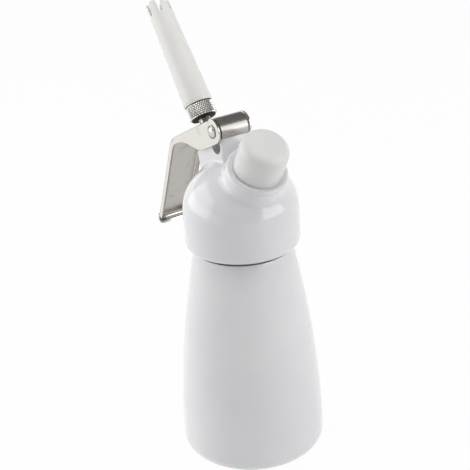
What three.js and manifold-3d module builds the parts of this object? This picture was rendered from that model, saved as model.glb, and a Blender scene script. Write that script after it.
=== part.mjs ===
// A whipped cream dispenser of a quarter litre, as an assembly of its separate pieces.
// Lengths are in millimetres, angles in degrees, +Z is up. The origin is the centre of the flat
// underside of the bottle. +X points to the charger inlet, and the lever swings about the Y axis.
import * as THREE from "three";
import { mergeVertices } from "three/addons/utils/BufferGeometryUtils.js";
import Module from "manifold-3d";

// Fits and fineness
const seatGap = 0.3;
const runningGap = 0.08;
const overrun = 1;
const mergeTolerance = 0.0001;
const largeSteps = 36;
const middleSteps = 24;
const smallSteps = 16;
const arcSteps = 5;
const coarseSteps = 3;

// Bottle
const bottleBaseRadius = 35;
const bottleCornerRadius = 8;
const bottleTopRadius = 23.6;
const bottleTopHeight = 108.8;
const bottleWall = 1.2;
const bottleFloor = 1.6;
const bottleInnerSweep = 70;
const bottleOuterSteps = 7;
const bottleInnerSteps = 3;
const bottleCurveShare = 1.86;
const neckRadius = 22;
const neckWall = 1.6;
const neckLength = 17.2;
const neckShoulder = 1;

// Screw thread between the bottle and the head
const threadPitch = 4;
const threadTurns = 1.5;
const threadRise = 5.2;
const threadDepth = 1;
const threadRoot = 1.9;
const threadCrest = 0.9;
const threadEngagement = 0.4;
const threadSteps = 24;
const gasketThickness = 2.2;
const gasketLip = 0.8;

// Head casting
const headRadius = 27.5;
const headGap = 1.1;
const headEdgeRadius = 2.4;
const headSkirt = 18.1;
const domeHeight = 23.5;
const domeSteps = 9;
const headLipWidth = 0.9;
const cavityRadius = 17.5;
const cavityRise = 9;

// Lever pivot and the horn that carries it
const pivotX = -6.9;
const pivotRise = 37.4;
const pinRadius = 1.7;
const pinHeadRadius = 3;
const pinHeadHeight = 1.3;
const bushWall = 0.8;
const lugRadius = 4.5;
const lugFrontAngle = 18;
const hornHalfWidth = 7.2;
const hornFront = 5.6;
const hornFrontTop = 6.6;
const hornNotch = 1.3;
const hornDepth = 32;
const hornTop = -0.3;
const hornSaddle = 10.5;
const hornBack = 6.7;
const hornBackSpread = 2.2;
const hornBackDrop = 6.8;
const hornHoleRadius = 3.9;
const hornHoleDrop = 7.6;
const hornHoleSetback = 0.3;

// Valve axis, which leans back over the lever. Places along it count from the foot of its arm.
const stemTilt = 38.5;
const stemArm = 18.3;
const stemRadius = 2.6;
const stemEndRadius = 2;
const stemThreadRadius = 3;
const stemBore = 1.4;
const stemBottom = -30;
const stemShoulder = -24.1;
const stemThreadStart = 9.6;
const stemTop = 24;
const stemHoleRadius = 0.8;
const stemGrooveDepth = 0.35;
const stemGroovePitch = 0.9;
const stemGrooveReach = 4;
const valveBore = 4.6;
const valveBossRadius = 7.4;
const valveBossEnd = -24;
const valvePocketRadius = 5.2;
const valvePocketLength = 14;
const springSeat = -12;
const guideLength = 6;
const ringThickness = 2;
const seatThickness = 2.2;
const seatClearance = 0.8;
const sealThickness = 2.6;
const nutThickness = 2.4;
const nutRadius = 3.6;
const nutSides = 6;
const springWire = 0.9;
const springCurls = 7;

// Lever, one bent and rolled sheet
const leverHalfWidth = 9;
const leverSheet = 1.1;
const webSlope = 28.4;
const webDistance = 5.9;
const cornerDistance = 44;
const cornerRadius = 11;
const handleSlope = 68;
const handleLength = 50.5;
const handleEndRadius = 2.8;
const handleLip = 2.2;
const lipCornerRadius = 4;
const rollHalfWidth = 7.1;
const rollEnd = 27;
const earRadius = 6;
const flangeDepth = 3.5;
const flangeTurnIn = 60;
const slotHalfWidth = 3.9;
const slotReach = 1;
const webCutMargin = 1.5;
// Lower edge of an ear, as shares of the corner distance along the web and of the ear radius
const earEdgeShares = [
  [0.1, -0.99],
  [0.29, -0.94],
  [0.41, -0.84],
  [0.47, -0.68],
  [0.53, -0.42],
  [0.62, -0.06],
  [0.71, 0.22],
  [0.79, 0.34],
];

// Collar that the lever pushes, and the pieces that carry the nozzle
const collarSphere = 8;
const collarRadius = 5.7;
const collarBottom = 3.6;
const washerRadius = 5.4;
const washerThickness = 1.3;
const adapterBottom = 12.85;
const adapterRadius = 7;
const adapterLength = 6.6;
const knurlTeeth = 28;
const knurlDepth = 0.35;
const adapterEdge = 0.5;
const spigotRadius = 4.9;
const spigotLength = 8.5;
const nozzleSealThickness = 0.6;
const nozzleSealRadius = 6.7;
const nozzleGap = 0.2;

// Nozzle
const nozzleBaseRadius = 7.1;
const nozzleTipRadius = 5.6;
const nozzleLength = 54;
const nozzleWall = 1.4;
const nozzleSocketDepth = 9.2;
const nozzleSocketGap = 0.3;
const nozzleTeeth = 6;
const nozzleCutWidth = 1.5;
const nozzleCutDepth = 6.5;
const nozzleFootHeight = 1;
const nozzleFootInset = 0.4;

// Charger inlet axis. Places along it count from the foot of the cap.
const inletX = 16.5;
const inletRise = 23.8;
const inletTilt = 30;
const inletBossRadius = 14.5;
const inletBossSpread = 1.5;
const inletBossDepth = 14;
const inletRimHeight = 0.5;
const inletRimWidth = 1.8;
const inletRimDrop = 1.1;
const inletBore = 6.5;
const inletBoreEnd = -12;
const inletStemBore = 3.3;
const inletStemRadius = 8;
const inletStemEnd = -16;
const nippleFlangeRadius = 9.2;
const nippleFlangeThickness = 1.5;
const nippleThreadRadius = 8.3;
const nippleTop = 8;
const nippleSocketRadius = 5.2;
const nippleSocketFloor = 3.6;
const nippleShankEnd = -11;
const nippleThreadPitch = 1.25;
const nippleThreadDepth = 0.4;
const inletGasketThickness = 1.1;
const piercerRadius = 1.6;
const piercerBore = 0.5;
const piercerTop = 7;
const piercerPoint = 2;
const piercerBottom = -13.9;
const chargerSealRadius = 4.9;
const chargerSealThickness = 1.5;
const checkValveRadius = 2.9;
const checkValveTop = -11.4;
const checkValveBottom = -15.5;
const checkValveFloor = 1.2;

// Charger cap
const capRadius = 11.5;
const capHeight = 17.4;
const capCrown = 0.7;
const capEdgeRadius = 4.6;
const capEdgeSweep = 75;
const capWall = 1.6;
const capFootInset = 0.4;
const linerThickness = 1;
const linerInset = 0.4;

const toRadians = THREE.MathUtils.degToRad;

// Heights that follow from the top of the bottle's side
const neckTop = bottleTopHeight + neckLength;
const threadStart = bottleTopHeight + threadRise;
const headBottom = bottleTopHeight + headGap;
const headShoulder = headBottom + headSkirt;
const cavityCeiling = headShoulder + cavityRise;
const pivotZ = headShoulder + pivotRise;
const inletZ = headShoulder + inletRise;

// A closed three.js geometry as a solid that can be joined and cut.
function solid(geometry) {
  const bare = geometry.index ? geometry.toNonIndexed() : geometry.clone();
  bare.deleteAttribute("normal");
  bare.deleteAttribute("uv");
  const merged = mergeVertices(bare, mergeTolerance);
  const corners = merged.index.array;
  const triangles = [];
  for (let i = 0; i < corners.length; i += 3) {
    const [a, b, c] = corners.slice(i, i + 3);
    if (a !== b && b !== c && c !== a) triangles.push(a, b, c);
  }
  return new wasm.Manifold(
    new wasm.Mesh({
      numProp: 3,
      vertProperties: merged.attributes.position.array,
      triVerts: new Uint32Array(triangles),
    }),
  );
}

// The geometry of a solid, with flat faces.
function geometryOf(made) {
  const mesh = made.getMesh();
  const geometry = new THREE.BufferGeometry();
  geometry.setAttribute("position", new THREE.BufferAttribute(mesh.vertProperties, 3));
  geometry.setIndex(new THREE.BufferAttribute(mesh.triVerts, 1));
  const flat = geometry.toNonIndexed();
  flat.computeVertexNormals();
  return flat;
}

const joined = (first, ...rest) => rest.reduce((sum, next) => sum.add(next), first);
const cut = (first, ...rest) => rest.reduce((left, next) => left.subtract(next), first);

// A profile of [radius, height] turned about Z. It closes on itself or starts and ends on the axis.
function turned(profile, steps) {
  let area = 0;
  profile.forEach(([r, z], i) => {
    const [nextR, nextZ] = profile[(i + 1) % profile.length];
    area += r * nextZ - nextR * z;
  });
  const ordered = area > 0 ? profile : [...profile].reverse();
  const points = ordered.map(([r, z]) => new THREE.Vector2(r, z));
  if (ordered[0][0] > 0) points.push(points[0].clone());
  return new THREE.LatheGeometry(points, steps).rotateX(Math.PI / 2);
}

// A ring with square edges.
function ring(inner, outer, low, high, steps = smallSteps) {
  const profile = [
    [inner, low],
    [outer, low],
    [outer, high],
    [inner, high],
  ];
  return turned(profile, steps);
}

// A plain round bar about Z.
function bar(radius, low, high, steps = smallSteps) {
  const profile = [
    [0, low],
    [radius, low],
    [radius, high],
    [0, high],
  ];
  return turned(profile, steps);
}

// An outline of [x, z] points as a slab across Y.
function slab(outline, low, high) {
  const shape = new THREE.Shape(outline.map(([x, z]) => new THREE.Vector2(x, z)));
  const geometry = new THREE.ExtrudeGeometry(shape, { depth: high - low, bevelEnabled: false });
  return geometry.rotateX(Math.PI / 2).translate(0, high, 0);
}

// Points on an arc from one angle to another, both ends included.
function arc(centreX, centreZ, radius, from, to, steps = arcSteps) {
  const points = [];
  for (let i = 0; i <= steps; i++) {
    const angle = toRadians(from + ((to - from) * i) / steps);
    points.push([centreX + radius * Math.cos(angle), centreZ + radius * Math.sin(angle)]);
  }
  return points;
}

// A bar of constant section swept along rising turns about Z. The section is a list of [radius, height].
function helix(section, pitch, turns, steps) {
  const positions = [];
  const faces = [];
  const rings = Math.round(turns * steps);
  const sides = section.length;
  for (let i = 0; i <= rings; i++) {
    const turn = i / steps;
    const angle = turn * 2 * Math.PI;
    section.forEach(([r, z]) => positions.push(r * Math.cos(angle), r * Math.sin(angle), z + turn * pitch));
  }
  const corner = (i, j) => i * sides + (j % sides);
  for (let i = 0; i < rings; i++) {
    for (let j = 0; j < sides; j++) {
      faces.push(corner(i, j), corner(i + 1, j), corner(i + 1, j + 1));
      faces.push(corner(i, j), corner(i + 1, j + 1), corner(i, j + 1));
    }
  }
  for (let j = 1; j < sides - 1; j++) {
    faces.push(corner(0, 0), corner(0, j), corner(0, j + 1));
    faces.push(corner(rings, 0), corner(rings, j + 1), corner(rings, j));
  }
  const geometry = new THREE.BufferGeometry();
  geometry.setAttribute("position", new THREE.BufferAttribute(new Float32Array(positions), 3));
  geometry.setIndex(faces);
  return geometry;
}

// A group whose own Z runs along a leaning axis in the XZ plane.
function leaningGroup(x, z, tilt) {
  const group = new THREE.Group();
  group.position.set(x, 0, z);
  group.rotation.y = toRadians(tilt);
  group.updateMatrix();
  return group;
}

function finish(color, roughness, metalness) {
  return new THREE.MeshStandardMaterial({ color, roughness, metalness });
}

const paint = () => finish("#ececee", 0.2, 0);
const steel = () => finish("#c9c6c2", 0.18, 1);
const brass = () => finish("#c7a35c", 0.3, 1);
const rubber = () => finish("#2b2b2b", 0.7, 0);
const silicone = () => finish("#cfcfcb", 0.6, 0);
const plastic = () => finish("#edece8", 0.4, 0);

function piece(group, name, geometry, material) {
  const mesh = new THREE.Mesh(geometry, material);
  mesh.name = name;
  group.add(mesh);
  return mesh;
}

const wasm = await Module();
wasm.setup();

const whipper = new THREE.Group();
const cosTilt = Math.cos(toRadians(stemTilt));
const sinTilt = Math.sin(toRadians(stemTilt));
const valveGroup = leaningGroup(pivotX - stemArm * cosTilt, pivotZ - stemArm * sinTilt, -stemTilt);
const inletGroup = leaningGroup(inletX, inletZ, inletTilt);
const onValve = (geometry) => solid(geometry.applyMatrix4(valveGroup.matrix));
const onInlet = (geometry) => solid(geometry.applyMatrix4(inletGroup.matrix));

// Bottle: a hollow tapering body with a convex side and a threaded neck
function bottleSide(inset, steps) {
  const low = bottleCornerRadius;
  const points = [];
  for (let i = 1; i <= steps; i++) {
    const share = i / steps;
    const narrowing = (bottleBaseRadius - bottleTopRadius) * share ** bottleCurveShare;
    points.push([bottleBaseRadius - narrowing - inset, low + (bottleTopHeight - low) * share]);
  }
  return points;
}

const bottleCornerX = bottleBaseRadius - bottleCornerRadius;
const bottleInnerCorner = bottleCornerRadius - bottleWall;
const neckBore = neckRadius - neckWall;
const bottleProfile = [
  [0, 0],
  ...arc(bottleCornerX, bottleCornerRadius, bottleCornerRadius, -90, 0),
  ...bottleSide(0, bottleOuterSteps),
  [neckRadius, bottleTopHeight + neckShoulder],
  [neckRadius, neckTop],
  [neckBore, neckTop],
  [neckBore, bottleTopHeight + neckShoulder],
  ...bottleSide(bottleWall, bottleInnerSteps).reverse(),
  ...arc(bottleCornerX, bottleCornerRadius, bottleInnerCorner, 0, -bottleInnerSweep, coarseSteps),
  [bottleCornerX - bottleCornerRadius, bottleFloor],
  [0, bottleFloor],
];

// A thread ridge whose root is sunk a little in the wall that carries it.
function threadRidge(wallRadius, outward, start) {
  const root = wallRadius - outward * threadDepth;
  const tip = wallRadius + outward * threadDepth;
  const section = [
    [root, -threadRoot / 2],
    [wallRadius, -threadRoot / 2],
    [tip, -threadCrest / 2],
    [tip, threadCrest / 2],
    [wallRadius, threadRoot / 2],
    [root, threadRoot / 2],
  ];
  if (outward < 0) section.reverse();
  return solid(helix(section, threadPitch, threadTurns, threadSteps).translate(0, 0, start));
}

const bottleSolid = joined(
  solid(turned(bottleProfile, largeSteps)),
  threadRidge(neckRadius, 1, threadStart),
);
piece(whipper, "bottle", geometryOf(bottleSolid), paint());

// Gasket between the neck and the head
const gasketLow = neckTop + seatGap;
const gasketHigh = gasketLow + gasketThickness;
piece(
  whipper,
  "head_gasket",
  ring(neckBore - gasketLip, neckRadius, gasketLow, gasketHigh, largeSteps),
  silicone(),
);

// Head: a cast cap with a dome, a horn for the lever, and bores for the valve and the inlet
const headBore = neckRadius + threadDepth - threadEngagement + threadDepth;
const headCeiling = gasketHigh + seatGap;

function domeOutline() {
  const points = [];
  for (let i = 0; i <= domeSteps; i++) {
    const angle = (Math.PI / 2) * (i / domeSteps);
    points.push([headRadius * Math.cos(angle), headShoulder + domeHeight * Math.sin(angle)]);
  }
  points[domeSteps][0] = 0;
  return points;
}

const headOuter = [
  [0, headBottom],
  ...arc(headRadius - headEdgeRadius, headBottom + headEdgeRadius, headEdgeRadius, -90, 0, coarseSteps),
  ...domeOutline(),
];
const headInner = [
  [0, headBottom - overrun],
  [headBore + headLipWidth, headBottom - overrun],
  [headBore + headLipWidth, headBottom],
  [headBore, headBottom + headLipWidth],
  [headBore, headCeiling],
  [cavityRadius, headCeiling],
  [cavityRadius, (headCeiling + cavityCeiling) / 2],
  [cavityRadius - (cavityCeiling - headCeiling) / 2, cavityCeiling],
  [0, cavityCeiling],
];

// A point of the valve's side view, from its distance off the pivot across the axis and along it.
const besideValve = (across, along) => [
  pivotX - across * cosTilt - along * sinTilt,
  pivotZ - across * sinTilt + along * cosTilt,
];

const hornOutline = [
  [pivotX + hornFront, pivotZ - hornDepth],
  [pivotX + hornFront, pivotZ - hornFrontTop],
  [pivotX + hornFront - hornNotch, pivotZ - hornFrontTop + hornNotch],
  ...arc(pivotX, pivotZ, lugRadius, -lugFrontAngle, 90 + stemTilt, 2 * arcSteps),
  besideValve(hornSaddle, hornTop),
  besideValve(stemArm + hornBack, hornTop),
  besideValve(stemArm + hornBack + hornBackSpread, hornTop - hornBackDrop),
  besideValve(stemArm + hornBack + 2 * hornBackSpread, hornTop - 2 * hornBackDrop),
  besideValve(stemArm, hornTop - hornDepth / 2 - hornBackDrop),
];

const bossFoot = -inletBossDepth;
const inletBoss = onInlet(
  turned(
    [
      [0, bossFoot],
      [inletBossRadius + inletBossSpread, bossFoot],
      [inletBossRadius, -seatGap - inletRimDrop - inletRimHeight],
      [inletBossRadius, -inletRimDrop],
      [inletBossRadius - inletRimWidth / 3, inletRimHeight - seatGap],
      [inletBossRadius - inletRimWidth, inletRimHeight - seatGap],
      [inletBossRadius - inletRimWidth, -seatGap],
      [0, -seatGap],
    ],
    largeSteps,
  ),
);
const headBody = solid(turned(headOuter, largeSteps));
const valveBoss = onValve(bar(valveBossRadius, valveBossEnd, hornTop - hornBackDrop, middleSteps));
const inletStem = onInlet(bar(inletStemRadius, inletStemEnd, bossFoot, middleSteps));
const bushHole = pinRadius + runningGap + bushWall + runningGap;
const across = (radius, x, z, steps) =>
  solid(
    bar(radius, -leverHalfWidth, leverHalfWidth, steps)
      .rotateX(Math.PI / 2)
      .translate(x, 0, z),
  );
const horn = cut(
  solid(slab(hornOutline, -hornHalfWidth, hornHalfWidth)),
  across(hornHoleRadius, pivotX - hornHoleSetback, pivotZ - hornHoleDrop, smallSteps),
  across(bushHole, pivotX, pivotZ, smallSteps),
);
const headSolid = joined(
  cut(joined(headBody, horn, inletBoss), solid(turned(headInner, largeSteps))),
  valveBoss,
  inletStem,
  threadRidge(headBore, -1, threadStart + threadPitch / 2),
);
const valveBoreSolid = onValve(bar(valveBore, valveBossEnd - overrun, hornTop + overrun, smallSteps));
const valvePocket = onValve(bar(valvePocketRadius, valveBossEnd - valvePocketLength, valveBossEnd));
const inletBoreSolid = onInlet(bar(inletBore, inletBoreEnd, overrun, middleSteps));
const inletStemBoreSolid = onInlet(bar(inletStemBore, inletStemEnd - overrun, inletBoreEnd + overrun));
piece(
  whipper,
  "head",
  geometryOf(cut(headSolid, valveBoreSolid, valvePocket, inletBoreSolid, inletStemBoreSolid)),
  paint(),
);

// Pivot: a domed rivet through both ears of the lever, turning in a bush in the horn
const pivotGroup = new THREE.Group();
pivotGroup.position.set(pivotX, 0, pivotZ);
pivotGroup.rotation.x = Math.PI / 2;
whipper.add(pivotGroup);
const bushBore = pinRadius + runningGap;
piece(
  pivotGroup,
  "pivot_bush",
  ring(bushBore, bushBore + bushWall, -hornHalfWidth, hornHalfWidth),
  plastic(),
);
const headFace = leverHalfWidth + runningGap;
const rivetDome = [
  [pinHeadRadius, headFace],
  [pinHeadRadius, headFace + pinHeadHeight / 3],
  [pinHeadRadius * Math.cos(Math.PI / 6), headFace + (2 * pinHeadHeight) / 3],
  [pinHeadRadius / 2, headFace + pinHeadHeight],
];
const mirrored = (points) => points.map(([r, z]) => [r, -z]).reverse();
const rivetProfile = [
  [0, -headFace - pinHeadHeight],
  ...mirrored(rivetDome),
  [pinRadius, -headFace],
  [pinRadius, headFace],
  ...rivetDome,
  [0, headFace + pinHeadHeight],
];
piece(pivotGroup, "pivot_pin", turned(rivetProfile, smallSteps), steel());

// Lever: two ears, a web that rolls round the pivot, a channel handle and a turned lip
const webAngle = 180 + webSlope;
const handleAngle = 180 + handleSlope;
const direction = (angle) => [Math.cos(toRadians(angle)), Math.sin(toRadians(angle))];
const [webX, webZ] = direction(webAngle);
const [handleX, handleZ] = direction(handleAngle);
const onWeb = (along, height) => [
  pivotX + along * webX + height * webZ,
  pivotZ + along * webZ - height * webX,
];
const bendAngle = handleAngle - webAngle;
const bendReach = cornerRadius * Math.tan(toRadians(bendAngle / 2));
const handleStart = onWeb(cornerDistance, webDistance);
const besideHandle = (along, depth) => [
  handleStart[0] + along * handleX - depth * handleZ,
  handleStart[1] + along * handleZ + depth * handleX,
];
const bendCentre = onWeb(cornerDistance - bendReach, webDistance - cornerRadius);

// The sheet seen from the side, at a depth under its outer skin.
function sheetLine(depth) {
  const [endX, endZ] = besideHandle(handleLength, handleEndRadius);
  return [
    ...arc(pivotX, pivotZ, webDistance - depth, -rollEnd, webAngle - 90, 2 * arcSteps),
    ...arc(...bendCentre, cornerRadius - depth, webAngle - 90, handleAngle - 90),
    ...arc(endX, endZ, handleEndRadius - depth, handleAngle - 90, handleAngle),
    besideHandle(handleLength + handleEndRadius - depth, handleEndRadius + handleLip),
  ];
}

const sheetOutline = [...sheetLine(0), ...sheetLine(leverSheet).reverse()];
const sideLine = sheetLine(0).slice(2 * arcSteps, 3 * arcSteps + 3);
const earEdge = earEdgeShares.map(([along, up]) => onWeb(along * cornerDistance, up * earRadius));
const sideOutline = [
  ...arc(pivotX, pivotZ, earRadius, webAngle + 90 - 360, webAngle - 90, 2 * arcSteps),
  ...sideLine,
  besideHandle(handleLength, 0),
  besideHandle(handleLength, flangeDepth),
  ...arc(...bendCentre, cornerRadius - flangeDepth, handleAngle - 90, webAngle - flangeTurnIn, coarseSteps),
  ...earEdge.reverse(),
];
const sideInner = leverHalfWidth - leverSheet;
const leverSides = [
  slab(sideOutline, -leverHalfWidth, -sideInner),
  slab(sideOutline, sideInner, leverHalfWidth),
].map(solid);
const slotFoot = onWeb(stemArm + slotReach / 2, webDistance - leverSheet - overrun);
const slotOutline = new THREE.Shape();
slotOutline.absarc(slotReach, 0, slotHalfWidth, -Math.PI / 2, Math.PI / 2);
slotOutline.absarc(-slotReach, 0, slotHalfWidth, Math.PI / 2, (3 * Math.PI) / 2);
const slot = solid(
  new THREE.ExtrudeGeometry(slotOutline, {
    depth: leverSheet + 2 * overrun,
    bevelEnabled: false,
    curveSegments: arcSteps,
  })
    .rotateY(toRadians(-webSlope))
    .translate(slotFoot[0], 0, slotFoot[1]),
);
// Cuts the roll free of the ears, from just behind the pivot to its front.
const rollGapOutline = [
  onWeb(webCutMargin, webDistance - leverSheet - overrun),
  onWeb(webCutMargin, webDistance + overrun),
  onWeb(-2 * webDistance, webDistance + overrun),
  onWeb(-2 * webDistance, -webDistance - overrun),
  onWeb(webCutMargin, -webDistance - overrun),
];
const rollGaps = [
  slab(rollGapOutline, rollHalfWidth, leverHalfWidth + overrun),
  slab(rollGapOutline, -leverHalfWidth - overrun, -rollHalfWidth),
].map(solid);
// Rounds the two corners of the lip, seen along the handle.
const lipOutline = new THREE.Shape();
const lipEdge = handleEndRadius + handleLip;
lipOutline.moveTo(-leverHalfWidth, -overrun);
lipOutline.lineTo(leverHalfWidth, -overrun);
const lipCornerY = leverHalfWidth - lipCornerRadius;
const lipCornerDepth = lipEdge - lipCornerRadius;
lipOutline.absarc(lipCornerY, lipCornerDepth, lipCornerRadius, 0, Math.PI / 2);
lipOutline.absarc(-lipCornerY, lipCornerDepth, lipCornerRadius, Math.PI / 2, Math.PI);
const lipFrame = new THREE.Matrix4().makeBasis(
  new THREE.Vector3(0, 1, 0),
  new THREE.Vector3(-handleZ, 0, handleX),
  new THREE.Vector3(handleX, 0, handleZ),
);
lipFrame.setPosition(handleStart[0], 0, handleStart[1]);
const lipLimit = solid(
  new THREE.ExtrudeGeometry(lipOutline, {
    depth: 2 * (handleLength + handleEndRadius),
    bevelEnabled: false,
    curveSegments: arcSteps,
  }).applyMatrix4(lipFrame),
);
const farBelow = besideHandle(handleLength, -overrun);
const lipZone = solid(
  slab(
    [
      farBelow,
      besideHandle(handleLength + 2 * handleEndRadius, -overrun),
      besideHandle(handleLength + 2 * handleEndRadius, lipEdge + overrun),
      besideHandle(handleLength, lipEdge + overrun),
    ],
    -leverHalfWidth,
    leverHalfWidth,
  ),
);
const sheet = cut(solid(slab(sheetOutline, -leverHalfWidth, leverHalfWidth)), slot, ...rollGaps);
const leverSolid = cut(
  joined(cut(sheet, lipZone.subtract(lipLimit)), ...leverSides),
  across(bushBore, pivotX, pivotZ, smallSteps),
);
piece(whipper, "lever", geometryOf(leverSolid), steel());

// Valve: the stem slides in a guide, and the spring under the collar holds the seal on its seat
whipper.add(valveGroup);
const stemGrooves = [];
const lowestGroove = stemThreadStart + stemGroovePitch / 2;
for (let s = stemThreadStart + stemGrooveReach; s > lowestGroove; s -= stemGroovePitch) {
  stemGrooves.push(
    [stemThreadRadius, s + stemGroovePitch / 4],
    [stemThreadRadius - stemGrooveDepth, s],
    [stemThreadRadius, s - stemGroovePitch / 4],
  );
}
const stemProfile = [
  [0, stemBottom],
  [stemEndRadius, stemBottom],
  [stemEndRadius, stemShoulder],
  [stemRadius, stemShoulder],
  [stemRadius, stemThreadStart],
  [stemThreadRadius, stemThreadStart],
  ...stemGrooves.reverse(),
  [stemThreadRadius, stemTop],
  [stemBore, stemTop],
  [stemBore, stemShoulder + seatThickness / 2],
  [0, stemShoulder + seatThickness / 2],
];
const stemHole = solid(
  bar(stemHoleRadius, -2 * stemRadius, 2 * stemRadius, smallSteps / 2)
    .rotateX(Math.PI / 2)
    .translate(0, 0, stemShoulder + seatThickness),
);
piece(
  valveGroup,
  "valve_stem",
  geometryOf(cut(solid(turned(stemProfile, smallSteps)), stemHole)),
  brass(),
);
const stemClear = stemRadius + runningGap;
const guideTop = springSeat - seatGap;
const guideBottom = guideTop - guideLength;
const fittedBore = valveBore - runningGap;
piece(valveGroup, "stem_guide", ring(stemClear, fittedBore, guideBottom, guideTop), brass());
const stemRingTop = guideBottom - seatGap;
piece(
  valveGroup,
  "stem_o_ring",
  ring(stemClear, fittedBore, stemRingTop - ringThickness, stemRingTop),
  rubber(),
);
const seatTop = stemRingTop - ringThickness - seatGap;
const seatBore = stemRadius + seatClearance;
piece(
  valveGroup,
  "valve_seat",
  ring(seatBore, fittedBore, valveBossEnd + seatGap, seatTop),
  brass(),
);
const sealTop = valveBossEnd - seatGap;
piece(
  valveGroup,
  "valve_seal",
  ring(stemEndRadius + runningGap, fittedBore, sealTop - sealThickness, sealTop),
  rubber(),
);
const nutTop = sealTop - sealThickness - seatGap;
const nutBody = solid(bar(nutRadius, nutTop - nutThickness, nutTop, nutSides));
const nutHole = solid(bar(stemEndRadius + runningGap, nutTop - nutThickness - overrun, nutTop + overrun));
piece(valveGroup, "seal_nut", geometryOf(cut(nutBody, nutHole)), brass());

const restTilt = toRadians(stemTilt - webSlope);
const webUnderside = webDistance - leverSheet;
const collarCentre =
  (webUnderside + stemArm * Math.sin(restTilt) - Math.sqrt(collarSphere ** 2 - slotHalfWidth ** 2)) /
    Math.cos(restTilt) -
  seatGap;
const sphereHeight = (r) => collarCentre + Math.sqrt(collarSphere ** 2 - r ** 2);
const domeRadii = [stemClear];
for (let i = 1; i <= arcSteps; i++) {
  domeRadii.push(stemClear + ((collarRadius - stemClear) * i) / arcSteps);
}
const collarProfile = [
  [stemClear, collarBottom],
  [collarRadius, collarBottom],
  ...domeRadii.reverse().map((r) => [r, sphereHeight(r)]),
];
piece(valveGroup, "stem_collar", turned(collarProfile, smallSteps), brass());

// The spring is one unbroken wire of eight steps and five sides for each curl.
const wireRadius = springWire / 2;
const springRadius = (stemRadius + valveBore) / 2;
const springLow = springSeat + wireRadius;
const springHigh = collarBottom - seatGap - wireRadius;
const springPitch = (springHigh - springLow) / springCurls;
const wireSides = 5;
const curlSteps = 8;
const wireSection = [];
for (let j = 0; j < wireSides; j++) {
  const angle = (2 * Math.PI * j) / wireSides;
  wireSection.push([springRadius + wireRadius * Math.cos(angle), wireRadius * Math.sin(angle)]);
}
const springGeometry = helix(wireSection, springPitch, springCurls, curlSteps).translate(0, 0, springLow);
piece(valveGroup, "valve_spring", springGeometry, steel());

// The least gap of the spring to itself, measured between rings at least half a curl apart.
function leastGap(geometry) {
  const places = geometry.attributes.position;
  const half = (curlSteps / 2) * wireSides;
  const a = new THREE.Vector3();
  const b = new THREE.Vector3();
  let least = Infinity;
  for (let i = 0; i < places.count; i++) {
    for (let j = i + half; j < places.count; j++) {
      const distance = a.fromBufferAttribute(places, i).distanceTo(b.fromBufferAttribute(places, j));
      least = Math.min(least, distance);
    }
  }
  return least;
}
console.log("least gap of the valve spring to itself, mm: " + leastGap(springGeometry).toFixed(2));

// Adapter: a knurled ring screwed on the stem, with a spigot for the nozzle
const adapterTop = adapterBottom + adapterLength;
const threadClear = stemThreadRadius + runningGap;
piece(
  valveGroup,
  "adapter_washer",
  ring(threadClear, washerRadius, adapterBottom - seatGap - washerThickness, adapterBottom - seatGap),
  rubber(),
);
const knurl = new THREE.Shape();
for (let i = 0; i < 2 * knurlTeeth; i++) {
  const angle = (Math.PI * i) / knurlTeeth;
  const radius = i % 2 ? adapterRadius - knurlDepth : adapterRadius;
  const place = [radius * Math.cos(angle), radius * Math.sin(angle)];
  if (i) knurl.lineTo(...place);
  else knurl.moveTo(...place);
}
knurl.closePath();
const knurlBand = new THREE.ExtrudeGeometry(knurl, {
  depth: adapterLength - 2 * adapterEdge,
  bevelEnabled: false,
}).translate(0, 0, adapterBottom + adapterEdge);
const edgeRadius = adapterRadius - knurlDepth - runningGap;
const adapterBody = turned(
  [
    [0, adapterBottom],
    [edgeRadius - adapterEdge, adapterBottom],
    [edgeRadius, adapterBottom + adapterEdge],
    [edgeRadius, adapterTop - adapterEdge],
    [edgeRadius - adapterEdge, adapterTop],
    [spigotRadius, adapterTop],
    [spigotRadius, adapterTop + spigotLength],
    [0, adapterTop + spigotLength],
  ],
  middleSteps,
);
const adapterSolid = cut(
  joined(solid(adapterBody), solid(knurlBand)),
  solid(bar(threadClear, adapterBottom - overrun, stemTop + seatGap)),
  solid(bar(stemBore, stemTop, adapterTop + spigotLength + overrun)),
);
piece(valveGroup, "nozzle_adapter", geometryOf(adapterSolid), steel());
const nozzleSealLow = adapterTop + nozzleGap;
const nozzleSealHigh = nozzleSealLow + nozzleSealThickness;
piece(
  valveGroup,
  "nozzle_seal",
  ring(spigotRadius + nozzleSocketGap, nozzleSealRadius, nozzleSealLow, nozzleSealHigh),
  rubber(),
);

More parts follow.
